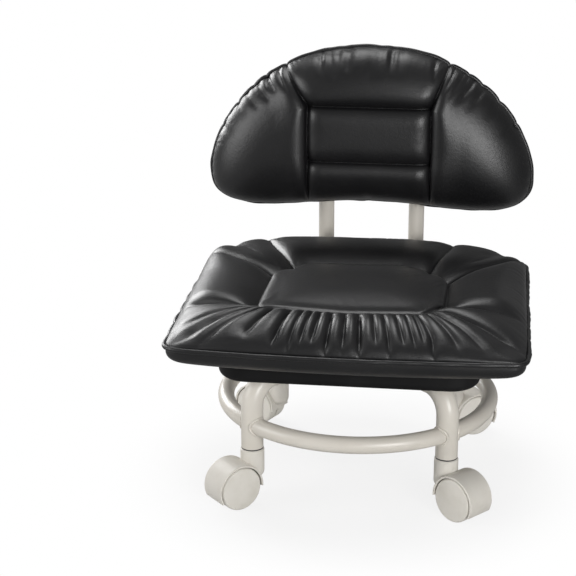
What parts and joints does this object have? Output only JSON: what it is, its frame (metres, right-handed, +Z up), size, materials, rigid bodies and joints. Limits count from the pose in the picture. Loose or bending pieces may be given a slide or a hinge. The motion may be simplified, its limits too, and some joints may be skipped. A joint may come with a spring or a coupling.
{
  "type": "low rolling stool",
  "caption": "Low rolling stool with a sewn pillow seat and winged backrest on a ring-braced tube frame with swivelling twin-wheel casters.",
  "frame": {"origin": "on the floor, under the middle of the stool's box", "axes": "+Z up; the sitter faces -Y; +X to the right seen from the front"},
  "size_m": [0.3916, 0.3866, 0.4788],
  "materials": {
    "cream_paint": "satin powder coat",
    "cream_plastic": "satin moulded",
    "cream_wheel": "satin moulded",
    "black_plastic": "satin moulded",
    "leather": "semi-gloss synthetic leather, fine grain",
    "plywood": "sanded",
    "zinc": "bright zinc plate",
    "steel": "turned"
  },
  "bodies": {
    "root": {"hub_tube": "cream_paint", "seat_plate": "cream_paint", "leg_front_left": "cream_paint", "leg_front_right": "cream_paint", "leg_rear_left": "cream_paint", "leg_rear_right": "cream_paint", "brace_front": "cream_paint", "brace_right": "cream_paint", "brace_rear": "cream_paint", "brace_left": "cream_paint", "seat_base_wrap": "leather", "seat_board": "plywood", "seat_cushion": "leather", "post_left": "cream_paint", "post_right": "cream_paint", "post_top_caps": "black_plastic", "post_foot_caps": "black_plastic", "back_board": "plywood", "back_cover": "leather", "back_cushion": "leather", "seat_bolts": "zinc", "seat_tee_nuts": "zinc", "foot_bolts": "zinc", "foot_tee_nuts": "zinc", "back_bolts": "zinc", "back_tee_nuts": "zinc", "socket_fl": "black_plastic", "stem_fl": "steel", "grip_ring_fl": "steel", "socket_fr": "black_plastic", "stem_fr": "steel", "grip_ring_fr": "steel", "socket_rl": "black_plastic", "stem_rl": "steel", "grip_ring_rl": "steel", "socket_rr": "black_plastic", "stem_rr": "steel", "grip_ring_rr": "steel"},
    "caster_fl": {"housing_fl": "cream_plastic", "axle_fl": "steel"},
    "wheel_left_fl": {"wheel_left_fl": "cream_wheel"},
    "wheel_right_fl": {"wheel_right_fl": "cream_wheel"},
    "caster_fr": {"housing_fr": "cream_plastic", "axle_fr": "steel"},
    "wheel_left_fr": {"wheel_left_fr": "cream_wheel"},
    "wheel_right_fr": {"wheel_right_fr": "cream_wheel"},
    "caster_rl": {"housing_rl": "cream_plastic", "axle_rl": "steel"},
    "wheel_left_rl": {"wheel_left_rl": "cream_wheel"},
    "wheel_right_rl": {"wheel_right_rl": "cream_wheel"},
    "caster_rr": {"housing_rr": "cream_plastic", "axle_rr": "steel"},
    "wheel_left_rr": {"wheel_left_rr": "cream_wheel"},
    "wheel_right_rr": {"wheel_right_rr": "cream_wheel"}
  },
  "joints": [
    {"name": "swivel_fl", "type": "hinge", "parent": "root", "child": "caster_fl", "pos_m": [-0.10889, -0.09789, 0.066], "axis": [0, 0, 1], "continuous": true},
    {"name": "spin_left_fl", "type": "hinge", "parent": "caster_fl", "child": "wheel_left_fl", "pos_m": [-0.12776, -0.1143, 0.025], "axis": [0.6561, -0.7547, 0], "continuous": true},
    {"name": "spin_right_fl", "type": "hinge", "parent": "caster_fl", "child": "wheel_right_fl", "pos_m": [-0.12776, -0.1143, 0.025], "axis": [0.6561, -0.7547, 0], "continuous": true},
    {"name": "swivel_fr", "type": "hinge", "parent": "root", "child": "caster_fr", "pos_m": [0.10889, -0.09789, 0.066], "axis": [0, 0, 1], "continuous": true},
    {"name": "spin_left_fr", "type": "hinge", "parent": "caster_fr", "child": "wheel_left_fr", "pos_m": [0.12805, -0.11396, 0.025], "axis": [0.6428, 0.766, 0], "continuous": true},
    {"name": "spin_right_fr", "type": "hinge", "parent": "caster_fr", "child": "wheel_right_fr", "pos_m": [0.12805, -0.11396, 0.025], "axis": [0.6428, 0.766, 0], "continuous": true},
    {"name": "swivel_rl", "type": "hinge", "parent": "root", "child": "caster_rl", "pos_m": [-0.10889, 0.11989, 0.066], "axis": [0, 0, 1], "continuous": true},
    {"name": "spin_left_rl", "type": "hinge", "parent": "caster_rl", "child": "wheel_left_rl", "pos_m": [-0.13155, 0.13046, 0.025], "axis": [-0.4226, -0.9063, 0], "continuous": true},
    {"name": "spin_right_rl", "type": "hinge", "parent": "caster_rl", "child": "wheel_right_rl", "pos_m": [-0.13155, 0.13046, 0.025], "axis": [-0.4226, -0.9063, 0], "continuous": true},
    {"name": "swivel_rr", "type": "hinge", "parent": "root", "child": "caster_rr", "pos_m": [0.10889, 0.11989, 0.066], "axis": [0, 0, 1], "continuous": true},
    {"name": "spin_left_rr", "type": "hinge", "parent": "caster_rr", "child": "wheel_left_rr", "pos_m": [0.13055, 0.13239, 0.025], "axis": [-0.5, 0.866, 0], "continuous": true},
    {"name": "spin_right_rr", "type": "hinge", "parent": "caster_rr", "child": "wheel_right_rr", "pos_m": [0.13055, 0.13239, 0.025], "axis": [-0.5, 0.866, 0], "continuous": true}
  ]
}
